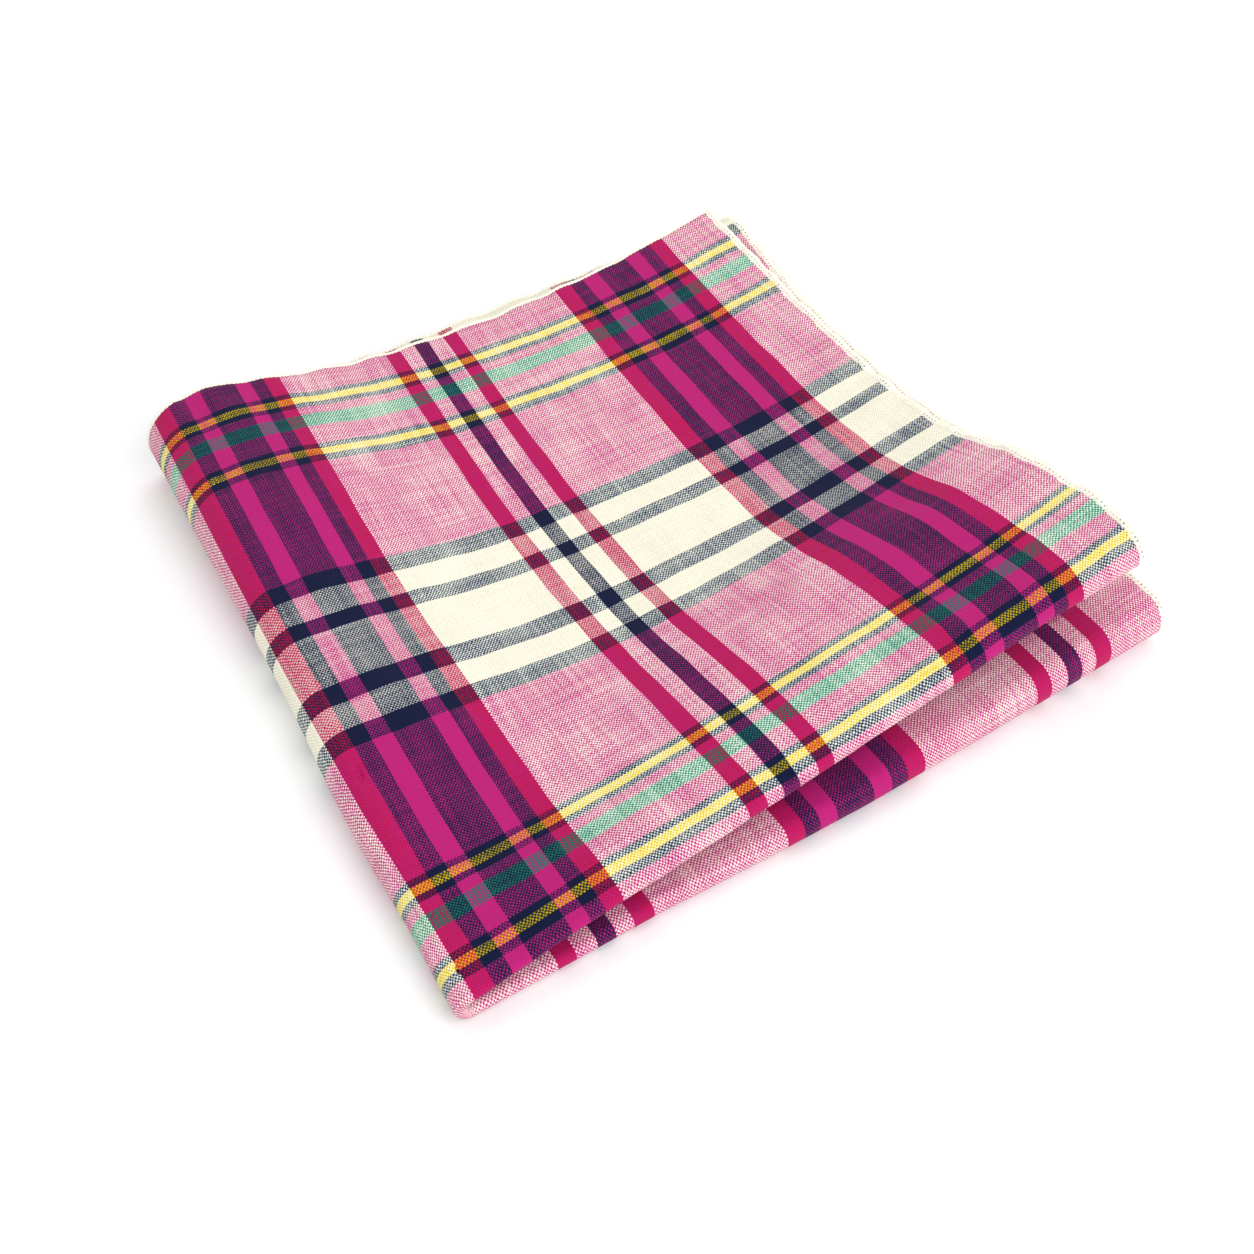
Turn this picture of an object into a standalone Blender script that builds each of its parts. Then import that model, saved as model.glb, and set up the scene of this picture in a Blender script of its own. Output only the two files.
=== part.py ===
"""A square pocket cloth, folded in half at the front and in half again at the left.

The whole cloth is one open surface with a Solidify modifier. Two folds make four layers: an
upper pair and a lower pair, joined by the fat bend on the left. Each pair is one outer and one
inner layer, joined by the small roll along the front.

Places on the cloth are told by two distances along its yarns, in millimetres: across (to the
right) and behind (away from the front). Both start at the crossing of the left wide band's
left edge and the front yellow line. All tables are in millimetres, over the surface it lies on.
"""

import math

import bpy
import numpy as np

MM = 0.001
QUARTER_TURN = math.pi / 2

# The open cloth and its layers
SIDE = 330.0
THICKNESS = 1.0
LAYER_GAP = 0.65
HALF_PITCH = (THICKNESS + LAYER_GAP) / 2

# Where the upper outer layer's hems lie, in distances along the yarns
RIGHT_HEM = 156.0
FAR_RIGHT_HEM = RIGHT_HEM - SIDE

# The back hems are cut a little off the yarns: the outer layers, then the inner layers
BACK_HEM = (
    # across, behind
    (-174.0, 157.0),
    (0.0, 157.0),
    (10.0, 158.3),
    (20.0, 157.8),
    (32.0, 156.4),
    (60.0, 157.2),
    (156.0, 160.5),
)
FAR_BACK_HEM = (
    # across, behind
    (-174.0, -172.0),
    (-20.0, -169.0),
    (30.0, -168.6),
    (60.0, -170.0),
    (100.0, -171.8),
    (156.0, -170.3),
)

# The middle of the footprint, which is the model's origin
FOOTPRINT_CENTRE = (81.7, 70.2)

# Height of the upper outer layer: a row per section, a column per distance across
HEIGHT_COLUMNS = (0.0, 12.0, 24.0, 48.0, 84.0, 120.0, 160.0)
HEIGHTS = (
    # behind   0    12    24    48    84   120   160
    (-8.0,   7.0,  8.0,  9.0, 11.0, 14.5, 20.5, 29.0),
    (2.0,    7.5,  8.7, 10.0, 12.0, 16.0, 22.0, 30.0),
    (16.0,   8.0,  8.2,  8.5, 10.5, 15.0, 20.0, 29.0),
    (36.0,  10.0,  9.2,  8.5,  8.5, 12.0, 17.5, 26.0),
    (50.0,  11.0, 10.5,  9.5,  7.5,  9.0, 13.5, 21.0),
    (85.0,  12.5, 12.0, 10.5,  7.0,  6.5,  8.5, 15.0),
    (120.0, 15.0, 15.5, 14.2,  9.5,  7.5,  9.0, 15.0),
    (157.5, 16.6, 18.0, 16.8, 13.0, 11.0, 12.5, 18.5),
)

# How far the upper pair is drawn to the right of, and behind, a true square grid
SHIFT_COLUMNS = (0.0, 60.0, 156.0)
SHIFTS_RIGHT = (
    # behind   0    60   156
    (-8.0,  -6.2, -7.2, -7.4),
    (8.0,   -5.5, -6.6, -4.8),
    (25.0,  -4.7, -6.0, -5.1),
    (60.0,  -2.0, -5.0, -5.5),
    (100.0,  1.6, -3.0, -2.8),
    (157.5,  7.5,  2.0, -0.5),
)
SHIFTS_BEHIND = (
    # behind   0    60    156
    (-8.0,  -4.0, -3.0,  -2.5),
    (25.0,  -4.5, -5.5,  -4.5),
    (60.0,  -5.0, -8.0,  -8.5),
    (100.0, -5.0, -9.0, -11.5),
    (157.5, -4.5, -8.5, -11.5),
)

# The left bend starts this far across, on the upper pair
BEND_STARTS = (
    # behind, across
    (-8.0, -0.3),
    (15.0, 1.2),
    (35.0, 2.0),
    (52.0, 3.0),
    (64.0, 3.9),
    (80.0, 4.7),
    (95.0, 5.3),
    (157.5, 6.5),
)

# The bend holds this much more cloth near the front, and its top is level over this distance
BEND_EXTRA = 0.65
BEND_EXTRA_FADE = (10.0, 40.0)
BEND_EASE = 4.0

# The front fold wanders along the yarns: the lower pair's part, then the upper pair's
FRONT_FOLD = (
    # across, behind
    (-174.0, -7.7),
    (-150.0, -8.6),
    (-120.0, -9.2),
    (-95.0, -9.2),
    (-75.0, -8.5),
    (-50.0, -7.2),
    (-20.0, -6.9),
    (0.0, -6.8),
    (10.0, -6.2),
    (30.0, -5.8),
    (60.0, -5.3),
    (85.0, -4.8),
    (110.0, -4.9),
    (130.0, -5.0),
    (156.0, -6.5),
)

# The front rolls: radius at the left bend and at the right hem, and where it has faded
UPPER_ROLL = (0.9, 3.1)
UPPER_ROLL_FADE = 18.0
LOWER_ROLL = (1.1, 4.6)
LOWER_ROLL_FADE = 34.0

# The upper roll turns into the lower one over this stretch across, round the left bend
ROLL_CHANGE = (0.0, -16.0)

# Where the lower pair's right hem lies on the surface
LOWER_HEM = (
    # behind, to the right, back
    (-8.0, 157.0, -14.5),
    (75.0, 160.5, 70.5),
    (157.5, 168.5, 154.0),
)

# An inner layer is shorter round the left bend, so its hem stands out, but not at the front
HEM_STEP = math.pi * HALF_PITCH
HEM_STEP_FADE = 60.0

# The inner layers' hems stand out this much more at the back
HEM_SPLAY = 2.5
HEM_SPLAY_RANGE = (125.0, 165.0)

# Mesh steps across each leaf, round the left bend, behind the front roll and round it
LEAF_STEPS = 14
BEND_STEPS = 8
BEHIND_STEPS = 18
ROLL_STEPS = 4
BEHIND_CROWDING = 1.35

# Distance over which the surface's slopes are taken
SLOPE_STEP = 0.05

CLOTH_COLOUR = (0.62, 0.16, 0.33, 1.0)
CLOTH_ROUGHNESS = 0.85


def clear_scene():
    """Remove every object that the file opened with."""
    for thing in list(bpy.data.objects):
        bpy.data.objects.remove(thing, do_unlink=True)


def ease(value, low, high):
    """0 at low, 1 at high, and a smooth change between them."""
    t = np.clip((value - low) / (high - low), 0.0, 1.0)
    return t * t * (3.0 - 2.0 * t)


def find_place(knots, wanted):
    """The knot before each wanted place, the part of the step gone, and the step."""
    index = np.clip(np.searchsorted(knots, wanted) - 1, 0, len(knots) - 2)
    step = knots[index + 1] - knots[index]
    return index, (wanted - knots[index]) / step, step


def smooth_blend(t, step, start, end, start_slope, end_slope):
    """Cubic between two knots a step apart, from their values and slopes."""
    t2 = t * t
    t3 = t2 * t
    return (
        (2.0 * t3 - 3.0 * t2 + 1.0) * start
        + (t3 - 2.0 * t2 + t) * step * start_slope
        + (3.0 * t2 - 2.0 * t3) * end
        + (t3 - t2) * step * end_slope
    )


def read_sections(rows, behind):
    """Each column of a table of sections, read smoothly at the places behind."""
    table = np.array(rows)
    knots = table[:, 0]
    values = table[:, 1:]
    slopes = np.gradient(values, knots, axis=0)
    index, t, step = find_place(knots, behind.ravel())
    ends = values[index], values[index + 1], slopes[index], slopes[index + 1]
    read = smooth_blend(t[:, None], step[:, None], *ends)
    return read.reshape(behind.shape + (values.shape[1],))


def read_table(rows, columns, behind, across):
    """A table of sections, read smoothly at the places across and behind."""
    columns = np.array(columns)
    read = read_sections(rows, behind).reshape(-1, len(columns))
    slopes = np.gradient(read, columns, axis=1)
    index, t, step = find_place(columns, across.ravel())
    place = np.arange(len(index))
    ends = read[place, index], read[place, index + 1], slopes[place, index], slopes[place, index + 1]
    return smooth_blend(t, step, *ends).reshape(behind.shape)


def roll_radii(across):
    """The upper and the lower front roll's radius at each place across."""
    upper = ease(across, 0.0, RIGHT_HEM)
    lower = ease(across, 0.0, FAR_RIGHT_HEM)
    return (
        UPPER_ROLL[0] + (UPPER_ROLL[1] - UPPER_ROLL[0]) * upper,
        LOWER_ROLL[0] + (LOWER_ROLL[1] - LOWER_ROLL[0]) * lower,
    )


def roll_radius(across):
    """The front roll's radius at each place across, on whichever pair is there."""
    upper, lower = roll_radii(across)
    return upper + (lower - upper) * ease(across, *ROLL_CHANGE)


def half_spacing(depth, radius, fade):
    """Half the distance between a pair's layers: the roll's radius, fading to half the pitch."""
    return HALF_PITCH + (radius - HALF_PITCH) * (1.0 - ease(depth, radius, fade))


def front_fold(across):
    """Where the front fold crosses the yarn that lies this far across."""
    table = np.array(FRONT_FOLD)
    return np.interp(across, table[:, 0], table[:, 1])


def back_hem(across):
    """Where the back hem crosses the yarn that lies this far across."""
    table = np.array(BACK_HEM)
    return np.interp(across, table[:, 0], table[:, 1])


def far_back_hem(across):
    """Where the inner layers' back hem crosses the yarn that lies this far across."""
    table = np.array(FAR_BACK_HEM)
    return np.interp(across, table[:, 0], table[:, 1])


def left_bend(depth, behind):
    """The left bend: where it starts and ends on the cloth, its radius, and its lowest height."""
    start = read_sections(BEND_STARTS, behind)[..., 0]
    top = read_table(HEIGHTS, HEIGHT_COLUMNS, behind, start)
    top = top - half_spacing(depth, UPPER_ROLL[0], UPPER_ROLL_FADE)
    floor = THICKNESS / 2 + half_spacing(depth, LOWER_ROLL[0], LOWER_ROLL_FADE)
    radius = (top - floor) / 2
    extra = BEND_EXTRA * (1.0 - ease(behind, *BEND_EXTRA_FADE))
    return start, start - math.pi * radius * (1.0 + extra), radius, floor


def pair_middle(across, depth):
    """The surface between a pair's two layers, and half the distance between them.

    depth is the distance behind the front roll's middle line.
    """
    upper_radius, lower_radius = roll_radii(across)
    upper_half = half_spacing(depth, upper_radius, UPPER_ROLL_FADE)
    lower_half = half_spacing(depth, lower_radius, LOWER_ROLL_FADE)
    behind = depth + front_fold(across) + QUARTER_TURN * roll_radius(across)
    bend_start, bend_end, radius, bend_floor = left_bend(depth, behind)
    bend_x = bend_start + read_table(SHIFTS_RIGHT, SHIFT_COLUMNS, behind, bend_start)
    bend_y = behind + read_table(SHIFTS_BEHIND, SHIFT_COLUMNS, behind, bend_start)
    gone = np.clip((bend_start - across) / (bend_start - bend_end), 0.0, 1.0)
    turn = math.pi * gone

    on_upper = np.maximum(across, bend_start)
    from_bend = on_upper - bend_start
    levelled = on_upper - BEND_EASE * (1.0 - np.exp(-from_bend / BEND_EASE))
    upper_x = on_upper + read_table(SHIFTS_RIGHT, SHIFT_COLUMNS, behind, on_upper)
    upper_y = behind + read_table(SHIFTS_BEHIND, SHIFT_COLUMNS, behind, on_upper)
    upper_z = read_table(HEIGHTS, HEIGHT_COLUMNS, behind, levelled) - upper_half

    hem = read_sections(LOWER_HEM, behind)
    share = np.clip((bend_end - across) / (bend_end - FAR_RIGHT_HEM), 0.0, None)
    lower_x = bend_x + (hem[..., 0] - bend_x) * share
    lower_y = bend_y + (hem[..., 1] - bend_y) * share
    lower_z = THICKNESS / 2 + lower_half

    is_upper = across >= bend_start
    is_lower = across <= bend_end
    bent_x = bend_x - radius * np.sin(turn)
    bent_z = bend_floor + radius * (1.0 + np.cos(turn))
    bent_half = upper_half * (1.0 - gone) + lower_half * gone
    x = np.where(is_upper, upper_x, np.where(is_lower, lower_x, bent_x))
    y = np.where(is_upper, upper_y, np.where(is_lower, lower_y, bend_y))
    z = np.where(is_upper, upper_z, np.where(is_lower, lower_z, bent_z))
    half = np.where(is_upper, upper_half, np.where(is_lower, lower_half, bent_half))
    return np.stack([x, y, z], axis=-1), half, is_lower


def unit(vectors):
    """Vectors at length 1."""
    return vectors / np.linalg.norm(vectors, axis=-1, keepdims=True)


def cloth_places():
    """The mesh's places: distance across, depth behind the roll, turn round it, and side.

    Rows run from the inner layers' back hem, round the front roll, to the outer layers' back
    hem. Columns run from the lower right hem, round the left bend, to the upper right hem.
    """
    leaf = np.linspace(0.0, 1.0, LEAF_STEPS + 1)
    bend = np.linspace(0.0, 1.0, BEND_STEPS + 1)[1:-1]
    back = np.linspace(0.0, 1.0, BEHIND_STEPS + 1)[1:] ** BEHIND_CROWDING
    roll = np.linspace(0.0, 1.0, ROLL_STEPS + 1)
    flat = np.ones(BEHIND_STEPS)
    turn = np.concatenate([flat, roll[::-1], roll[1:], flat]) * QUARTER_TURN
    part = np.concatenate([back[::-1], np.zeros(2 * ROLL_STEPS + 1), back])
    side = np.where(np.arange(len(turn)) < BEHIND_STEPS + ROLL_STEPS, -1.0, 1.0)

    left_fold = front_fold(0.0)
    rough_depth = part * (back_hem(0.0) - left_fold)
    start, end = left_bend(rough_depth, rough_depth + left_fold)[:2]
    step_out = HEM_STEP * ease(rough_depth, 0.0, HEM_STEP_FADE)
    step_out = step_out + HEM_SPLAY * ease(rough_depth, *HEM_SPLAY_RANGE)
    step_out = np.where(side < 0, step_out, 0.0)
    far = FAR_RIGHT_HEM - step_out
    near = RIGHT_HEM + step_out
    lower = far[:, None] + (end - far)[:, None] * leaf
    round_bend = end[:, None] + (start - end)[:, None] * bend
    upper = start[:, None] + (near - start)[:, None] * leaf
    across = np.concatenate([lower, round_bend, upper], axis=1)

    fold = front_fold(across)
    to_hem = np.where(side[:, None] > 0, back_hem(across) - fold, fold - far_back_hem(across))
    depth = part[:, None] * (to_hem - QUARTER_TURN * roll_radius(across))
    return across, depth, turn[:, None], side[:, None]


def cloth_points():
    """The cloth's middle surface, as a grid of points in millimetres."""
    across, depth, turn, side = cloth_places()
    middle, half, is_lower = pair_middle(across, depth)
    one_side = pair_middle(across + SLOPE_STEP, depth)[0]
    other_side = pair_middle(across - SLOPE_STEP, depth)[0]
    to_back = unit(pair_middle(across, depth + SLOPE_STEP)[0] - middle)
    outward = unit(np.cross(one_side - other_side, to_back))
    outward = np.where(is_lower[..., None], np.array([0.0, 0.0, -1.0]), outward)
    lift = (side * half * np.sin(turn))[..., None]
    reach = (half * np.cos(turn))[..., None]
    return middle + lift * outward - reach * to_back


def grid_faces(rows, columns):
    """Quads of a grid of points, row by row."""
    corner = np.arange(rows * columns).reshape(rows, columns)
    quads = [corner[:-1, :-1], corner[:-1, 1:], corner[1:, 1:], corner[1:, :-1]]
    return np.stack(quads, axis=-1).reshape(-1, 4)


def make_material(name, colour, roughness):
    """A plain cloth material."""
    material = bpy.data.materials.new(name)
    material.use_nodes = True
    shader = material.node_tree.nodes["Principled BSDF"]
    shader.inputs["Base Color"].default_value = colour
    shader.inputs["Roughness"].default_value = roughness
    shader.inputs["Metallic"].default_value = 0.0
    return material


def make_cloth(collection):
    """The folded cloth: its middle surface, thickened both ways."""
    points = cloth_points()
    rows, columns = points.shape[:2]
    points = points - np.array([FOOTPRINT_CENTRE[0], FOOTPRINT_CENTRE[1], 0.0])
    mesh = bpy.data.meshes.new("cloth")
    mesh.from_pydata((points * MM).reshape(-1, 3).tolist(), [], grid_faces(rows, columns).tolist())
    mesh.materials.append(make_material("cloth", CLOTH_COLOUR, CLOTH_ROUGHNESS))
    cloth = bpy.data.objects.new("cloth", mesh)
    collection.objects.link(cloth)
    thicken = cloth.modifiers.new("thickness", "SOLIDIFY")
    thicken.thickness = THICKNESS * MM
    thicken.offset = 0.0
    thicken.use_even_offset = True
    return cloth


def main():
    """Clear the file and build the cloth."""
    clear_scene()
    collection = bpy.data.collections.new("pocket_square")
    bpy.context.scene.collection.children.link(collection)
    make_cloth(collection)


main()
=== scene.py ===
"""Looks of a folded plaid pocket cloth: thin woven cloth, its overlocked edge, floor, lights.

Places on the cloth are told by two distances along its yarns, in millimetres: across (to the
right) and behind (away from the front). Both start at the crossing of the left wide band's
left edge and the front yellow line. The folds follow the same tables as the solid.
"""

import math

import bpy
import numpy as np
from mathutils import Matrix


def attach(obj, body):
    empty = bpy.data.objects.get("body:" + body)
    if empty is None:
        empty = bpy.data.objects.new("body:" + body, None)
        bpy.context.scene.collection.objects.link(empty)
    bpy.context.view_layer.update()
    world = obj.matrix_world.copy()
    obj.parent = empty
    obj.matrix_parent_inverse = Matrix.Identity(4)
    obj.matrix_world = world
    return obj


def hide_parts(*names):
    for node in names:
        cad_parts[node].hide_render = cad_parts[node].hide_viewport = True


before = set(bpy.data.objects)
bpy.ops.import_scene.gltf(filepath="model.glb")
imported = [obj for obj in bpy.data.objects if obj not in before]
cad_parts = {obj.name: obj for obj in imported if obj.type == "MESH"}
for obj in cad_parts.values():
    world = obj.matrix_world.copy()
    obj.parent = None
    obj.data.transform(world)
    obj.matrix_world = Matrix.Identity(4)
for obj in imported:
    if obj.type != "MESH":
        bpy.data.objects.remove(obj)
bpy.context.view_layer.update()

MM = 0.001
QUARTER_TURN = math.pi / 2

# The open cloth. Its layers are thinner than the solid's, so they lie closer together, and its
# right hem lies half a millimetre further out
SIDE = 330.0
THICKNESS = 0.42
HALF_PITCH = 0.62
RIGHT_HEM = 156.5
FAR_RIGHT_HEM = RIGHT_HEM - SIDE
FOOTPRINT_CENTRE = (81.7, 70.2)
SOLID_HALF_THICKNESS = 0.5

# The back hems are cut a little off the yarns: the outer layers, then the inner layers
BACK_HEM = (
    # across, behind
    (-174.0, 157.0),
    (0.0, 157.0),
    (10.0, 158.3),
    (20.0, 157.8),
    (32.0, 156.4),
    (60.0, 157.2),
    (156.0, 160.5),
)
FAR_BACK_HEM = (
    # across, behind
    (-174.0, -172.0),
    (-20.0, -169.0),
    (30.0, -168.6),
    (60.0, -170.0),
    (100.0, -171.8),
    (156.0, -170.3),
)

# Height of the upper outer layer: a row per section, a column per distance across
HEIGHT_COLUMNS = (0.0, 12.0, 24.0, 48.0, 84.0, 120.0, 160.0)
HEIGHTS = (
    # behind   0    12    24    48    84   120   160
    (-8.0,   7.0,  8.0,  9.0, 11.0, 14.5, 20.5, 29.0),
    (2.0,    7.5,  8.7, 10.0, 12.0, 16.0, 22.0, 30.0),
    (16.0,   8.0,  8.2,  8.5, 10.5, 15.0, 20.0, 29.0),
    (36.0,  10.0,  9.2,  8.5,  8.5, 12.0, 17.5, 26.0),
    (50.0,  11.0, 10.5,  9.5,  7.5,  9.0, 13.5, 21.0),
    (85.0,  12.5, 12.0, 10.5,  7.0,  6.5,  8.5, 15.0),
    (120.0, 15.0, 15.5, 14.2,  9.5,  7.5,  9.0, 15.0),
    (157.5, 16.6, 18.0, 16.8, 13.0, 11.0, 12.5, 18.5),
)

# How far the upper pair is drawn to the right of, and behind, a true square grid
SHIFT_COLUMNS = (0.0, 60.0, 156.0)
SHIFTS_RIGHT = (
    # behind   0    60   156
    (-8.0,  -6.2, -7.2, -7.4),
    (8.0,   -5.5, -6.6, -4.8),
    (25.0,  -4.7, -6.0, -5.1),
    (60.0,  -2.0, -5.0, -5.5),
    (100.0,  1.6, -3.0, -2.8),
    (157.5,  7.5,  2.0, -0.5),
)
SHIFTS_BEHIND = (
    # behind   0    60    156
    (-8.0,  -4.0, -3.0,  -2.5),
    (25.0,  -4.5, -5.5,  -4.5),
    (60.0,  -5.0, -8.0,  -8.5),
    (100.0, -5.0, -9.0, -11.5),
    (157.5, -4.5, -8.5, -11.5),
)

# The left bend starts this far across, on the upper pair
BEND_STARTS = (
    # behind, across
    (-8.0, -0.3),
    (15.0, 1.2),
    (35.0, 2.0),
    (52.0, 3.0),
    (64.0, 3.9),
    (80.0, 4.7),
    (95.0, 5.3),
    (157.5, 6.5),
)

# The bend takes more cloth than a half circle does, by this share at the front, which fades
# between two places behind. Beside it the upper pair starts level, over this distance
BEND_EXTRA = 0.65
BEND_EXTRA_FADE = (10.0, 40.0)
BEND_EASE = 4.0

# The front fold wanders along the yarns
FRONT_FOLD = (
    # across, behind
    (-174.0, -7.7),
    (-150.0, -8.6),
    (-120.0, -9.2),
    (-95.0, -9.2),
    (-75.0, -8.5),
    (-50.0, -7.2),
    (-20.0, -6.9),
    (0.0, -6.8),
    (10.0, -6.2),
    (30.0, -5.8),
    (60.0, -5.3),
    (85.0, -4.8),
    (110.0, -4.9),
    (130.0, -5.0),
    (156.0, -6.5),
)

# Radius of the front roll at the bend and at the right hem, the distance over which it fades
# behind, and the places across between which the upper roll turns into the lower
UPPER_ROLL = (0.9, 3.1)
UPPER_ROLL_FADE = 18.0
LOWER_ROLL = (1.1, 4.6)
LOWER_ROLL_FADE = 34.0
ROLL_CHANGE = (0.0, -16.0)

# Where the lower pair's right hem lies on the surface
LOWER_HEM = (
    # behind, to the right, back
    (-8.0, 157.0, -14.5),
    (75.0, 160.5, 70.5),
    (157.5, 168.5, 154.0),
)

# How far the inner layers' side hems stand out, and over what distance from the front fold
HEM_STEP = math.pi * HALF_PITCH
HEM_STEP_FADE = 60.0
HEM_SPLAY = 2.5
HEM_SPLAY_RANGE = (125.0, 165.0)

# Overlock: its half width along the sides and the back, how far it stands out, its half height,
# how much each stitch swells it, and its slow wobble along the edge
HEM_HALF_WIDTHS = {"side": 1.05, "back": 0.5}
HEM_OVERHANG = 0.4
HEM_HALF_HEIGHT = 0.42
HEM_SWELL_WIDTH = 0.10
HEM_SWELL_HEIGHT = 0.04
HEM_WOBBLES = (
    # size, turn a millimetre, start
    (0.10, 0.9, 0.0),
    (0.07, 2.3, 1.0),
)
HEM_SIDES = 14
HEM_RINGS_PER_STITCH = 6
STITCH_PITCH = 1.05

# Small holes in a row along the overlock: how far in, half width, and how they are cut out
HOLE_ROW = 0.85
HOLE_SIZE = 0.36
HOLE_BELL = 1.2
HOLE_UNEVENNESS = 0.9
HOLE_START = 1.9
HOLE_SHARPNESS = 3.0
HOLE_DEPTH = 0.85

# Soft creases: from one place to another, half width, and height
CREASES = (
    # across, behind, across, behind, half width, height
    (70.0, 30.0, 120.0, 44.0, 7.0, 0.35),
    (84.0, 60.0, 150.0, 74.0, 9.0, -0.4),
    (28.0, 20.0, 62.0, 66.0, 6.0, 0.3),
    (60.0, 100.0, 130.0, 128.0, 9.0, 0.35),
    (10.0, 70.0, 46.0, 112.0, 8.0, -0.3),
    (108.0, 8.0, 152.0, 22.0, 5.0, -0.35),
    (24.0, 2.0, 60.0, 8.0, 4.0, 0.25),
    (96.0, 112.0, 154.0, 104.0, 7.0, 0.3),
)

# Small crossing waves of the upper pair
WAVES = (
    # height, turn a millimetre across, turn a millimetre behind, start
    (0.10, 0.43, 0.21, 0.6),
    (0.08, 0.19, -0.37, 2.1),
    (0.05, 0.83, 0.52, 4.0),
)

# Puckers along the upper pair's hems: height, pace, swing of the pace, and the swing's own pace
RIGHT_PUCKERS = (0.30, 0.55, 0.9, 0.13)
BACK_PUCKERS = (0.25, 0.47, 0.8, 0.11)
PUCKER_REACH = 5.0

# Mesh steps: places where the cloth is finely and coarsely divided
ACROSS_STEPS = (
    # across, step
    (-186.0, 1.9),
    (-40.0, 1.9),
    (-24.0, 0.8),
    (8.0, 0.8),
    (20.0, 1.7),
    (170.0, 1.7),
)
BEHIND_STEPS = (
    # behind, step
    (-190.0, 2.4),
    (-34.0, 2.2),
    (-22.0, 0.55),
    (4.0, 0.55),
    (16.0, 1.4),
    (158.0, 1.7),
)

# Weave: the pitch of each set of yarns, how far they wander, and what tells the yarn on top
LONG_PITCH = 0.37
CROSS_PITCH = 0.41
YARN_WANDER = 0.45
WEAVE_CONTRAST = 0.62
LONG_ON_TOP = 0.48
SLUB_SHARE = 0.5
CLOUD_SHARE = 0.4

# Repeats of the stripes: of the yarns that run front to back, and of those left to right
LONG_REPEAT = 109.2
CROSS_REPEAT = 129.6

# Colours of the yarns as seen, 0 to 255, and for thick or thin yarns how much they cover
CREAM_LONG = (246, 246, 221, 0.49)
CRIMSON = (172, 2, 61, 0.51)
NAVY_LONG = (0, 18, 49, 0.58)
FUCHSIA = (178, 28, 108)
PINK = (168, 28, 106)
NAVY_CROSS = (2, 18, 56, 0.51)
YELLOW = (208, 174, 8, 0.47)
GREEN = (16, 112, 94)
CREAM_CROSS = (216, 208, 192, 0.48)

# Stripes of the yarns that run front to back: where each colour begins, across
LONG_STRIPES = (
    (0.0, CRIMSON),
    (4.0, NAVY_LONG),
    (8.0, FUCHSIA),
    (12.0, NAVY_LONG),
    (20.7, FUCHSIA),
    (24.4, NAVY_LONG),
    (28.0, CRIMSON),
    (31.8, CREAM_LONG),
    (60.5, CRIMSON),
    (64.5, CREAM_LONG),
    (68.5, NAVY_LONG),
    (72.5, CREAM_LONG),
    (76.5, CRIMSON),
    (80.5, CREAM_LONG),
)

# Stripes of the yarns that run left to right: where each colour begins, behind
CROSS_START = -2.6
CROSS_STRIPES = (
    (-2.6, NAVY_CROSS),
    (-1.0, YELLOW),
    (1.0, NAVY_CROSS),
    (2.6, PINK),
    (8.1, GREEN),
    (12.4, PINK),
    (15.0, NAVY_CROSS),
    (16.5, YELLOW),
    (18.5, NAVY_CROSS),
    (20.0, PINK),
    (51.4, NAVY_CROSS),
    (56.1, CREAM_CROSS),
    (62.5, NAVY_CROSS),
    (67.3, CREAM_CROSS),
    (81.2, NAVY_CROSS),
    (85.4, CREAM_CROSS),
    (91.6, NAVY_CROSS),
    (96.2, PINK),
)

# White surroundings, a big key at the back right, a fill in front, a low light at the front right
WORLD_STRENGTH = 0.88
LIGHTS = (
    # name, place, target, size, power
    ("key", (0.35, 0.55, 0.8), (0.0, 0.0, 0.0), 0.7, 2.4),
    ("fill", (0.0, -0.65, 0.5), (0.0, 0.0, 0.0), 0.8, 3.2),
    ("low_front", (0.5, -0.5, 0.22), (0.05, -0.05, 0.0), 0.5, 1.3),
)
FLOOR_HALF_WIDTH = 3.0

# The photograph's view: 33.7 degrees round from the front, 46.2 degrees above the floor
CAMERA_PLACE = (-0.15583, -0.22958, 0.26573)
CAMERA_TILT = 43.844
CAMERA_YAW = -33.656
CAMERA_LENS = 50.624
CAMERA_SENSOR = 36.0


def ease(value, low, high):
    """0 at low, 1 at high, and a smooth change between them."""
    t = np.clip((value - low) / (high - low), 0.0, 1.0)
    return t * t * (3.0 - 2.0 * t)


def find_place(knots, wanted):
    """The knot before each wanted place, the part of the step gone, and the step."""
    index = np.clip(np.searchsorted(knots, wanted) - 1, 0, len(knots) - 2)
    step = knots[index + 1] - knots[index]
    return index, (wanted - knots[index]) / step, step


def smooth_blend(t, step, start, end, start_slope, end_slope):
    """Cubic between two knots a step apart, from their values and slopes."""
    t2 = t * t
    t3 = t2 * t
    return (
        (2.0 * t3 - 3.0 * t2 + 1.0) * start
        + (t3 - 2.0 * t2 + t) * step * start_slope
        + (3.0 * t2 - 2.0 * t3) * end
        + (t3 - t2) * step * end_slope
    )


def read_sections(rows, behind):
    """Each column of a table of sections, read smoothly at the places behind."""
    table = np.array(rows)
    knots = table[:, 0]
    values = table[:, 1:]
    slopes = np.gradient(values, knots, axis=0)
    index, t, step = find_place(knots, behind.ravel())
    ends = values[index], values[index + 1], slopes[index], slopes[index + 1]
    read = smooth_blend(t[:, None], step[:, None], *ends)
    return read.reshape(behind.shape + (values.shape[1],))


def read_table(rows, columns, behind, across):
    """A table of sections, read smoothly at the places across and behind."""
    columns = np.array(columns)
    read = read_sections(rows, behind).reshape(-1, len(columns))
    slopes = np.gradient(read, columns, axis=1)
    index, t, step = find_place(columns, across.ravel())
    before = np.arange(len(index)), index
    after = np.arange(len(index)), index + 1
    blend = smooth_blend(t, step, read[before], read[after], slopes[before], slopes[after])
    return blend.reshape(behind.shape)


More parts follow.
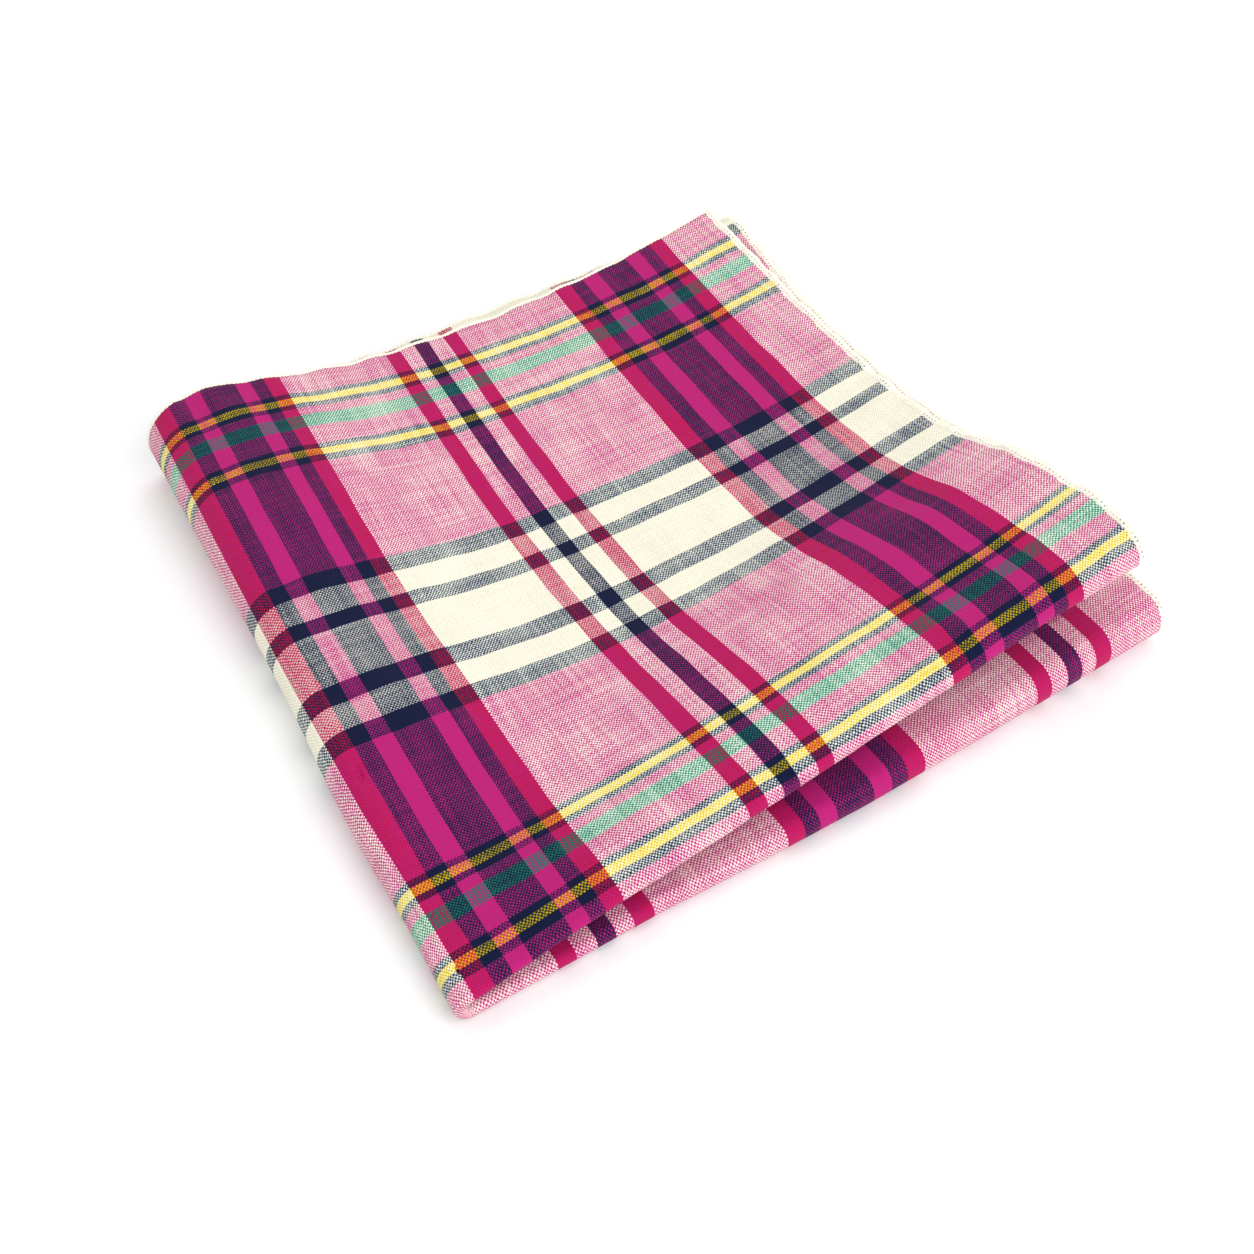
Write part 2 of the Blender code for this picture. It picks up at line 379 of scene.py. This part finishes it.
def roll_radii(across):
    """The upper and the lower front roll's radius at each place across."""
    upper = ease(across, 0.0, RIGHT_HEM)
    lower = ease(across, 0.0, FAR_RIGHT_HEM)
    return (
        UPPER_ROLL[0] + (UPPER_ROLL[1] - UPPER_ROLL[0]) * upper,
        LOWER_ROLL[0] + (LOWER_ROLL[1] - LOWER_ROLL[0]) * lower,
    )


def roll_radius(across):
    """The front roll's radius at each place across, on whichever pair is there."""
    upper, lower = roll_radii(across)
    return upper + (lower - upper) * ease(across, *ROLL_CHANGE)


def half_spacing(depth, radius, fade):
    """Half the distance between a pair's layers: the roll's radius, fading to half the pitch."""
    return HALF_PITCH + (radius - HALF_PITCH) * (1.0 - ease(depth, radius, fade))


def read_line(rows, places):
    """A table of two columns, read straight from row to row."""
    table = np.array(rows)
    return np.interp(places, table[:, 0], table[:, 1])


def front_fold(across):
    """Where the front fold crosses the yarn that lies this far across."""
    return read_line(FRONT_FOLD, across)


def back_hem(across):
    """Where the back hem crosses the yarn that lies this far across."""
    return read_line(BACK_HEM, across)


def far_back_hem(across):
    """Where the inner layers' back hem crosses the yarn that lies this far across."""
    return read_line(FAR_BACK_HEM, across)


def crease_height(across, behind):
    """Sum of soft creases: each is a bell across a line, and fades to nothing at its ends."""
    height = np.zeros_like(across)
    for from_a, from_b, to_a, to_b, width, tall in CREASES:
        run = np.hypot(to_a - from_a, to_b - from_b)
        one_a = (to_a - from_a) / run
        one_b = (to_b - from_b) / run
        along = (across - from_a) * one_a + (behind - from_b) * one_b
        aside = (behind - from_b) * one_a - (across - from_a) * one_b
        part = np.clip(along / run, 0.0, 1.0)
        height += tall * np.exp(-((aside / width) ** 2)) * np.sin(math.pi * part) ** 2
    return height


def puckers(away, along, height, pace, swing, swing_pace):
    """Waves along a hem that fade with the distance from it. Their pace swings."""
    near = np.exp(-np.maximum(away, 0.0) / PUCKER_REACH)
    return height * near * np.sin(pace * along + swing * np.sin(swing_pace * along))


def ripple(across, behind):
    """Small unevenness of the upper pair: crossing waves, and puckers along its two hems."""
    height = puckers(RIGHT_HEM - across, behind, *RIGHT_PUCKERS)
    height = height + puckers(back_hem(across) - behind, across, *BACK_PUCKERS)
    for tall, pace_across, pace_behind, start in WAVES:
        height = height + tall * np.sin(pace_across * across + pace_behind * behind + start)
    return height


def left_bend(depth, behind):
    """The left bend: where it starts and ends on the cloth, its radius, and its lowest height."""
    start = read_sections(BEND_STARTS, behind)[..., 0]
    top = read_table(HEIGHTS, HEIGHT_COLUMNS, behind, start)
    top = top - half_spacing(depth, UPPER_ROLL[0], UPPER_ROLL_FADE)
    floor = SOLID_HALF_THICKNESS + half_spacing(depth, LOWER_ROLL[0], LOWER_ROLL_FADE)
    radius = (top - floor) / 2
    extra = BEND_EXTRA * (1.0 - ease(behind, *BEND_EXTRA_FADE))
    return start, start - math.pi * radius * (1.0 + extra), radius, floor


def pair_middle(across, depth):
    """The surface between a pair's two layers, and half the distance between them.

    depth is the distance behind the front roll's middle line.
    """
    upper_radius, lower_radius = roll_radii(across)
    upper_half = half_spacing(depth, upper_radius, UPPER_ROLL_FADE)
    lower_half = half_spacing(depth, lower_radius, LOWER_ROLL_FADE)
    behind = depth + front_fold(across) + QUARTER_TURN * roll_radius(across)
    bend_start, bend_end, radius, bend_floor = left_bend(depth, behind)
    bend_x = bend_start + read_table(SHIFTS_RIGHT, SHIFT_COLUMNS, behind, bend_start)
    bend_y = behind + read_table(SHIFTS_BEHIND, SHIFT_COLUMNS, behind, bend_start)
    gone = np.clip((bend_start - across) / (bend_start - bend_end), 0.0, 1.0)
    turn = math.pi * gone

    on_upper = np.maximum(across, bend_start)
    from_bend = on_upper - bend_start
    levelled = on_upper - BEND_EASE * (1.0 - np.exp(-from_bend / BEND_EASE))
    upper_x = on_upper + read_table(SHIFTS_RIGHT, SHIFT_COLUMNS, behind, on_upper)
    upper_y = behind + read_table(SHIFTS_BEHIND, SHIFT_COLUMNS, behind, on_upper)
    upper_z = read_table(HEIGHTS, HEIGHT_COLUMNS, behind, levelled) - upper_half
    upper_z = upper_z + crease_height(on_upper, behind) + ripple(on_upper, behind)

    hem = read_sections(LOWER_HEM, behind)
    share = np.clip((bend_end - across) / (bend_end - FAR_RIGHT_HEM), 0.0, None)
    lower_x = bend_x + (hem[..., 0] - bend_x) * share
    lower_y = bend_y + (hem[..., 1] - bend_y) * share
    lower_z = SOLID_HALF_THICKNESS + lower_half

    is_upper = across >= bend_start
    is_lower = across <= bend_end
    bent_x = bend_x - radius * np.sin(turn)
    bent_z = bend_floor + radius * (1.0 + np.cos(turn))
    bent_half = upper_half * (1.0 - gone) + lower_half * gone
    x = np.where(is_upper, upper_x, np.where(is_lower, lower_x, bent_x))
    y = np.where(is_upper, upper_y, np.where(is_lower, lower_y, bend_y))
    z = np.where(is_upper, upper_z, np.where(is_lower, lower_z, bent_z))
    half = np.where(is_upper, upper_half, np.where(is_lower, lower_half, bent_half))
    return np.stack([x, y, z], axis=-1), half, is_lower


def unit(vectors):
    """Vectors at length 1."""
    return vectors / np.linalg.norm(vectors, axis=-1, keepdims=True)


def folded(across, behind):
    """The cloth's middle surface and its face direction at places on the cloth.

    Points behind the front fold lie above the pair's middle surface, points before it lie
    below, and near the fold they turn round a half circle of the roll's radius.
    """
    small = 0.05
    fold = front_fold(across)
    radius = roll_radius(across)
    away = np.abs(behind - fold)
    depth = np.maximum(away - QUARTER_TURN * radius, 0.0)
    turn = np.minimum(away / radius, QUARTER_TURN)
    side = np.where(behind >= fold, 1.0, -1.0)
    middle, half, is_lower = pair_middle(across, depth)
    one_side = pair_middle(across + small, depth)[0]
    other_side = pair_middle(across - small, depth)[0]
    to_back = unit(pair_middle(across, depth + small)[0] - middle)
    outward = unit(np.cross(one_side - other_side, to_back))
    outward = np.where(is_lower[..., None], np.array([0.0, 0.0, -1.0]), outward)
    lift = (side * half * np.sin(turn))[..., None] * outward
    reach = (half * np.cos(turn))[..., None] * to_back
    face = (side * np.sin(turn))[..., None] * outward - np.cos(turn)[..., None] * to_back
    points = middle + lift - reach
    centre = np.array([FOOTPRINT_CENTRE[0], FOOTPRINT_CENTRE[1], 0.0])
    return (points - centre) * MM, face


def stepped(table, low, high):
    """Places from low to high whose spacing follows a table of steps."""
    fine = np.linspace(low, high, 8000)
    pace = 1.0 / read_line(table, fine)
    gone = np.concatenate([[0.0], np.cumsum((pace[1:] + pace[:-1]) / 2 * np.diff(fine))])
    count = int(round(gone[-1]))
    return np.interp(np.linspace(0.0, gone[-1], count + 1), gone, fine)


def side_hems(behind):
    """Where the far right and the right hem lie across, at each place behind.

    An inner layer is shorter round the left bend, so its hem stands out, but not at the front.
    """
    away = front_fold(0.0) - behind
    step_out = HEM_STEP * ease(away, 0.0, HEM_STEP_FADE) + HEM_SPLAY * ease(away, *HEM_SPLAY_RANGE)
    return FAR_RIGHT_HEM - step_out, RIGHT_HEM + step_out


def grid_faces(rows, columns, closed=False):
    """Quads of a grid of points, row by row; a closed grid joins its last column to its first."""
    corner = np.arange(rows * columns).reshape(rows, columns)
    if closed:
        corner = np.concatenate([corner, corner[:, :1]], axis=1)
    quads = [corner[:-1, :-1], corner[:-1, 1:], corner[1:, 1:], corner[1:, :-1]]
    return np.stack(quads, axis=-1).reshape(-1, 4)


def add_places(mesh, name, places):
    """A set of places on a mesh's points, for its material to read."""
    layer = mesh.attributes.new(name, "FLOAT_VECTOR", "POINT")
    layer.data.foreach_set("vector", places.reshape(-1).astype(np.float32))


def new_piece(name, points, faces, material, places=None):
    """A smooth mesh object from whole arrays, with its yarn places as an attribute."""
    mesh = bpy.data.meshes.new(name)
    mesh.from_pydata(points.reshape(-1, 3).tolist(), [], faces.tolist())
    if places is not None:
        add_places(mesh, "yarn_place", places)
    mesh.polygons.foreach_set("use_smooth", np.ones(len(mesh.polygons), dtype=bool))
    mesh.materials.append(material)
    mesh.update()
    piece = bpy.data.objects.new(name, mesh)
    bpy.context.scene.collection.objects.link(piece)
    return piece


def yarn_colour(colour):
    """A yarn's colour from 0 to 1, with its cover as alpha: a usual yarn covers half."""
    cover = colour[3] if len(colour) > 3 else 0.5
    return tuple(channel / 255.0 for channel in colour[:3]) + (cover,)


def new_node(tree, kind, **settings):
    """A shader node with its settings."""
    node = tree.nodes.new(kind)
    for key, value in settings.items():
        setattr(node, key, value)
    return node


def arithmetic(tree, operation, first, second=None, third=None):
    """A Math node of links or numbers, and its result."""
    node = new_node(tree, "ShaderNodeMath", operation=operation)
    for socket, value in zip(node.inputs, (first, second, third)):
        if value is None:
            continue
        if isinstance(value, (int, float)):
            socket.default_value = value
        else:
            tree.links.new(value, socket)
    return node.outputs[0]


def stripe_ramp(tree, place, stripes, start, repeat):
    """Colour and cover of a striped set of yarns at a place across them."""
    ramp = new_node(tree, "ShaderNodeValToRGB")
    ramp.color_ramp.interpolation = "CONSTANT"
    elements = ramp.color_ramp.elements
    while len(elements) > 1:
        elements.remove(elements[-1])
    elements[0].position = 0.0
    elements[0].color = yarn_colour(stripes[0][1])
    for begin, colour in stripes[1:]:
        element = elements.new((begin - start) / repeat)
        element.color = yarn_colour(colour)
    shifted = arithmetic(tree, "SUBTRACT", place, start)
    part = arithmetic(tree, "FRACT", arithmetic(tree, "DIVIDE", shifted, repeat))
    tree.links.new(part, ramp.inputs["Fac"])
    return ramp.outputs["Color"], ramp.outputs["Alpha"]


def streaks(tree, vector, scale, detail):
    """Noise from 0 to 1, finer or coarser each way by its scale."""
    mapping = new_node(tree, "ShaderNodeMapping")
    mapping.inputs["Scale"].default_value = scale
    tree.links.new(vector, mapping.inputs["Vector"])
    noise = new_node(tree, "ShaderNodeTexNoise", noise_dimensions="2D")
    noise.inputs["Scale"].default_value = 1.0
    noise.inputs["Detail"].default_value = detail
    tree.links.new(mapping.outputs["Vector"], noise.inputs["Vector"])
    return noise.outputs["Fac"]


def weave_group():
    """Colour and height of the plain weave at a place on the cloth.

    Two striped sets of yarns cross. One smooth wave per yarn each way, multiplied, tells which
    yarn is on top. Slubs, thick and thin places along the yarns, and wide soft clouds let one set
    show more, and so does a yarn that covers more than half.
    """
    tree = bpy.data.node_groups.new("striped_weave", "ShaderNodeTree")
    tree.interface.new_socket("Place", in_out="INPUT", socket_type="NodeSocketVector")
    tree.interface.new_socket("Color", in_out="OUTPUT", socket_type="NodeSocketColor")
    tree.interface.new_socket("Height", in_out="OUTPUT", socket_type="NodeSocketFloat")
    place = new_node(tree, "NodeGroupInput").outputs["Place"]
    result = new_node(tree, "NodeGroupOutput")
    split = new_node(tree, "ShaderNodeSeparateXYZ")
    tree.links.new(place, split.inputs["Vector"])
    across = split.outputs["X"]
    behind = split.outputs["Y"]

    # Yarns wander a little to either side
    wander_across = streaks(tree, place, (0.9, 0.35, 1.0), 2.0)
    wander_behind = streaks(tree, place, (0.35, 0.9, 1.0), 2.0)
    bent_across = arithmetic(tree, "MULTIPLY_ADD", wander_across, YARN_WANDER, across)
    bent_behind = arithmetic(tree, "MULTIPLY_ADD", wander_behind, YARN_WANDER, behind)
    turn_across = arithmetic(tree, "MULTIPLY", bent_across, math.pi / LONG_PITCH)
    turn_behind = arithmetic(tree, "MULTIPLY", bent_behind, math.pi / CROSS_PITCH)
    wave_across = arithmetic(tree, "SINE", turn_across)
    wave_behind = arithmetic(tree, "SINE", turn_behind)
    checker = arithmetic(tree, "MULTIPLY", wave_across, wave_behind)

    long_slub = streaks(tree, place, (1.6, 0.05, 1.0), 3.0)
    cross_slub = streaks(tree, place, (0.05, 1.6, 1.0), 3.0)
    cloudy = streaks(tree, place, (0.11, 0.08, 1.0), 3.0)
    slub = arithmetic(tree, "SUBTRACT", long_slub, cross_slub)
    over = arithmetic(tree, "MULTIPLY_ADD", checker, WEAVE_CONTRAST, LONG_ON_TOP)
    over = arithmetic(tree, "MULTIPLY_ADD", slub, SLUB_SHARE, over)
    cloud = arithmetic(tree, "SUBTRACT", cloudy, 0.5)
    over = arithmetic(tree, "MULTIPLY_ADD", cloud, CLOUD_SHARE, over)
    long_colour, long_cover = stripe_ramp(tree, across, LONG_STRIPES, 0.0, LONG_REPEAT)
    cross_colour, cross_cover = stripe_ramp(tree, behind, CROSS_STRIPES, CROSS_START, CROSS_REPEAT)
    over = arithmetic(tree, "ADD", over, arithmetic(tree, "SUBTRACT", long_cover, cross_cover))
    share = arithmetic(tree, "MINIMUM", arithmetic(tree, "MAXIMUM", over, 0.0), 1.0)
    mix = new_node(tree, "ShaderNodeMix", data_type="RGBA")
    tree.links.new(share, mix.inputs["Factor"])
    tree.links.new(cross_colour, mix.inputs[6])
    tree.links.new(long_colour, mix.inputs[7])
    gamma = new_node(tree, "ShaderNodeGamma")
    gamma.inputs["Gamma"].default_value = 2.2
    tree.links.new(mix.outputs[2], gamma.inputs["Color"])
    tree.links.new(gamma.outputs["Color"], result.inputs["Color"])

    slubs = arithmetic(tree, "ADD", long_slub, cross_slub)
    height = arithmetic(tree, "MULTIPLY_ADD", slubs, 0.5, arithmetic(tree, "ABSOLUTE", checker))
    tree.links.new(height, result.inputs["Height"])
    return tree


def add_weave(tree, group):
    """The weave's group node, reading the piece's yarn places."""
    source = new_node(tree, "ShaderNodeAttribute", attribute_name="yarn_place")
    weave = new_node(tree, "ShaderNodeGroup")
    weave.node_tree = group
    tree.links.new(source.outputs["Vector"], weave.inputs["Place"])
    return weave


def cloth_material(group):
    """Yarn-dyed cotton: the weave's colour, a trace of sheen and a fine bump."""
    material = bpy.data.materials.new("madras_cotton")
    material.use_nodes = True
    tree = material.node_tree
    shader = tree.nodes["Principled BSDF"]
    shader.inputs["Sheen Weight"].default_value = 0.04
    shader.inputs["Sheen Roughness"].default_value = 0.5
    shader.inputs["Specular IOR Level"].default_value = 0.15
    weave = add_weave(tree, group)
    tree.links.new(weave.outputs["Color"], shader.inputs["Base Color"])
    rough = arithmetic(tree, "MULTIPLY_ADD", weave.outputs["Height"], -0.08, 0.9)
    tree.links.new(rough, shader.inputs["Roughness"])
    bump = new_node(tree, "ShaderNodeBump")
    bump.inputs["Strength"].default_value = 0.6
    bump.inputs["Distance"].default_value = 0.0001
    tree.links.new(weave.outputs["Height"], bump.inputs["Height"])
    tree.links.new(bump.outputs["Normal"], shader.inputs["Normal"])
    return material


def thread_material(group):
    """Cream overlock thread, with a row of small holes that show the cloth's own colour.

    Stitch places are the distance along the edge and the distance in from its middle.
    """
    material = bpy.data.materials.new("edge_thread")
    material.use_nodes = True
    tree = material.node_tree
    shader = tree.nodes["Principled BSDF"]
    shader.inputs["Sheen Weight"].default_value = 0.05
    shader.inputs["Specular IOR Level"].default_value = 0.2
    source = new_node(tree, "ShaderNodeAttribute", attribute_name="stitch_place")
    split = new_node(tree, "ShaderNodeSeparateXYZ")
    tree.links.new(source.outputs["Vector"], split.inputs["Vector"])

    uneven = streaks(tree, source.outputs["Vector"], (1.3, 0.6, 1.0), 3.0)
    ramp = new_node(tree, "ShaderNodeValToRGB")
    ramp.color_ramp.elements[0].position = 0.3
    ramp.color_ramp.elements[0].color = (0.76, 0.73, 0.61, 1.0)
    ramp.color_ramp.elements[1].position = 0.7
    ramp.color_ramp.elements[1].color = (0.88, 0.86, 0.76, 1.0)
    tree.links.new(uneven, ramp.inputs["Fac"])

    # A hole is where a wave along the edge and a bell across it are both high, unevenly
    turn = arithmetic(tree, "MULTIPLY", split.outputs["X"], 2.0 * math.pi / STITCH_PITCH)
    wave = arithmetic(tree, "COSINE", turn)
    aside = arithmetic(tree, "SUBTRACT", split.outputs["Y"], HOLE_ROW)
    aside = arithmetic(tree, "DIVIDE", aside, HOLE_SIZE)
    bell = arithmetic(tree, "SUBTRACT", 1.0, arithmetic(tree, "MULTIPLY", aside, aside))
    hole = arithmetic(tree, "ADD", wave, arithmetic(tree, "MULTIPLY", bell, HOLE_BELL))
    hole = arithmetic(tree, "ADD", hole, arithmetic(tree, "MULTIPLY", uneven, HOLE_UNEVENNESS))
    hole = arithmetic(tree, "SUBTRACT", hole, HOLE_START)
    hole = arithmetic(tree, "MULTIPLY", hole, HOLE_SHARPNESS)
    hole = arithmetic(tree, "MINIMUM", arithmetic(tree, "MAXIMUM", hole, 0.0), HOLE_DEPTH)

    weave = add_weave(tree, group)
    mix = new_node(tree, "ShaderNodeMix", data_type="RGBA")
    tree.links.new(hole, mix.inputs["Factor"])
    tree.links.new(ramp.outputs["Color"], mix.inputs[6])
    tree.links.new(weave.outputs["Color"], mix.inputs[7])
    tree.links.new(mix.outputs[2], shader.inputs["Base Color"])
    rough = arithmetic(tree, "MULTIPLY_ADD", uneven, 0.2, 0.7)
    tree.links.new(rough, shader.inputs["Roughness"])
    return material


def make_cloth(material):
    """The thin cloth: its folded middle surface at a grid of yarn places, thickened both ways.

    The grid is finer at the folds, and near its edges it stretches to meet the hems.
    """
    nominal = back_hem(0.0)
    far_nominal = far_back_hem(0.0)
    behind = stepped(BEHIND_STEPS, far_nominal, nominal)
    part = stepped(ACROSS_STEPS, FAR_RIGHT_HEM, RIGHT_HEM)
    far, near = side_hems(behind)
    place = (part - FAR_RIGHT_HEM) / SIDE
    across = part[None, :] + (far - FAR_RIGHT_HEM)[:, None] * (1.0 - place) ** 3
    across = across + (near - RIGHT_HEM)[:, None] * place ** 3
    stretch = np.clip(behind / nominal, 0.0, 1.0)[:, None] ** 3
    far_stretch = np.clip(behind / far_nominal, 0.0, 1.0)[:, None] ** 3
    rows = behind[:, None] + (back_hem(across) - nominal) * stretch
    rows = rows + (far_back_hem(across) - far_nominal) * far_stretch
    points = folded(across, rows)[0]
    places = np.stack([across, rows, np.zeros_like(across)], axis=-1)
    piece = new_piece("cloth_sheet", points, grid_faces(*across.shape), material, places)
    thicken = piece.modifiers.new("thickness", "SOLIDIFY")
    thicken.thickness = THICKNESS * MM
    thicken.offset = 0.0
    return piece


def hem_path(edge, count):
    """Places on the cloth along one edge, and the step across and behind to just inside it."""
    part = np.linspace(0.0, 1.0, count)
    zero = np.zeros(count)
    if edge in ("back", "far_back"):
        behind_of = back_hem if edge == "back" else far_back_hem
        far, near = side_hems(behind_of(0.0))
        across = far + (near - far) * part
        inward = -1.0 if edge == "back" else 1.0
        return across, behind_of(across), zero, zero + inward
    corner = RIGHT_HEM if edge == "right" else FAR_RIGHT_HEM
    behind = far_back_hem(corner) + (back_hem(corner) - far_back_hem(corner)) * part
    far, near = side_hems(behind)
    if edge == "right":
        return near, behind, zero - 1.0, zero
    return far, behind, zero + 1.0, zero


def make_hem(edge, material):
    """One edge's overlock: a flat tube round the cloth's edge.

    Its section is an ellipse, carried along the edge. Its outline swells and thins a little with
    each stitch, and it is narrower along the back.
    """
    count = int(SIDE / STITCH_PITCH * HEM_RINGS_PER_STITCH) + 1
    across, behind, step_a, step_b = hem_path(edge, count)
    edge_points, edge_face = folded(across, behind)
    small = 0.5
    inner_points = folded(across + small * step_a, behind + small * step_b)[0]
    inward = unit(inner_points - edge_points)
    run = np.linspace(0.0, SIDE, count)
    stitch = np.cos(2.0 * math.pi * run / STITCH_PITCH)
    wobble = sum(size * np.sin(run * pace + start) for size, pace, start in HEM_WOBBLES)
    angle = np.linspace(0.0, 2.0 * math.pi, HEM_SIDES, endpoint=False)
    half_width = HEM_HALF_WIDTHS["back" if "back" in edge else "side"]
    inside = np.clip(np.cos(angle), 0.0, 1.0)
    reach = (half_width * (1.0 + wobble))[:, None] * np.cos(angle)
    reach = reach + HEM_SWELL_WIDTH * stitch[:, None] * inside
    thick = (HEM_HALF_HEIGHT + HEM_SWELL_HEIGHT * stitch)[:, None] * np.sin(angle)
    middle = half_width - HEM_OVERHANG
    points = edge_points[:, None] + inward[:, None] * ((middle + reach) * MM)[..., None]
    points = points + edge_face[:, None] * (thick * MM)[..., None]
    zero = np.zeros_like(reach)
    yarn_across = across[:, None] + (middle + reach) * step_a[:, None]
    yarn_behind = behind[:, None] + (middle + reach) * step_b[:, None]
    faces = grid_faces(count, HEM_SIDES, closed=True)
    places = np.stack([yarn_across, yarn_behind, zero], axis=-1)
    piece = new_piece("edge_" + edge, points, faces, material, places)
    stitch_places = np.stack([run[:, None] + zero, middle + reach, zero], axis=-1)
    add_places(piece.data, "stitch_place", stitch_places)
    return piece


def make_floor():
    """A pale floor that carries on far behind the cloth."""
    material = bpy.data.materials.new("pale_floor")
    material.use_nodes = True
    shader = material.node_tree.nodes["Principled BSDF"]
    shader.inputs["Base Color"].default_value = (0.9, 0.9, 0.905, 1.0)
    shader.inputs["Roughness"].default_value = 0.9
    shader.inputs["Specular IOR Level"].default_value = 0.1
    corners = np.array([(-1.0, -1.0, 0.0), (1.0, -1.0, 0.0), (1.0, 1.0, 0.0), (-1.0, 1.0, 0.0)])
    faces = np.array([[0, 1, 2, 3]])
    floor = new_piece("floor", corners * FLOOR_HALF_WIDTH, faces, material)


def area_light(name, place, target, size, power):
    """A soft square light that looks at a target."""
    data = bpy.data.lights.new(name, "AREA")
    data.shape = "SQUARE"
    data.size = size
    data.energy = power
    light = bpy.data.objects.new(name, data)
    light.location = place
    toward = np.array(target) - np.array(place)
    yaw = math.atan2(toward[1], toward[0]) - QUARTER_TURN
    tilt = math.atan2(math.hypot(toward[0], toward[1]), -toward[2])
    light.rotation_euler = (tilt, 0.0, yaw)
    bpy.context.scene.collection.objects.link(light)


def make_lights():
    """A bright soft room. Colours are shown as they are, because the yarns' are display values."""
    world = bpy.data.worlds.new("studio")
    world.use_nodes = True
    background = world.node_tree.nodes["Background"]
    background.inputs["Color"].default_value = (1.0, 1.0, 1.0, 1.0)
    background.inputs["Strength"].default_value = WORLD_STRENGTH
    bpy.context.scene.world = world
    for name, place, target, size, power in LIGHTS:
        area_light(name, place, target, size, power)
    bpy.context.scene.view_settings.view_transform = "Standard"


def make_camera():
    """A camera at the photograph's view."""
    data = bpy.data.cameras.new("camera")
    data.lens = CAMERA_LENS
    data.sensor_width = CAMERA_SENSOR
    camera = bpy.data.objects.new("camera", data)
    camera.location = CAMERA_PLACE
    camera.rotation_euler = (math.radians(CAMERA_TILT), 0.0, math.radians(CAMERA_YAW))
    bpy.context.scene.collection.objects.link(camera)
    bpy.context.scene.camera = camera


weave = weave_group()
cloth_look = cloth_material(weave)
thread_look = thread_material(weave)
cloth = make_cloth(cloth_look)
hems = [make_hem(edge, thread_look) for edge in ("right", "back", "far_right", "far_back")]
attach(cloth, "root")
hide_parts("cloth")
for hem in hems:
    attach(hem, "root")

make_floor()
make_lights()
make_camera()
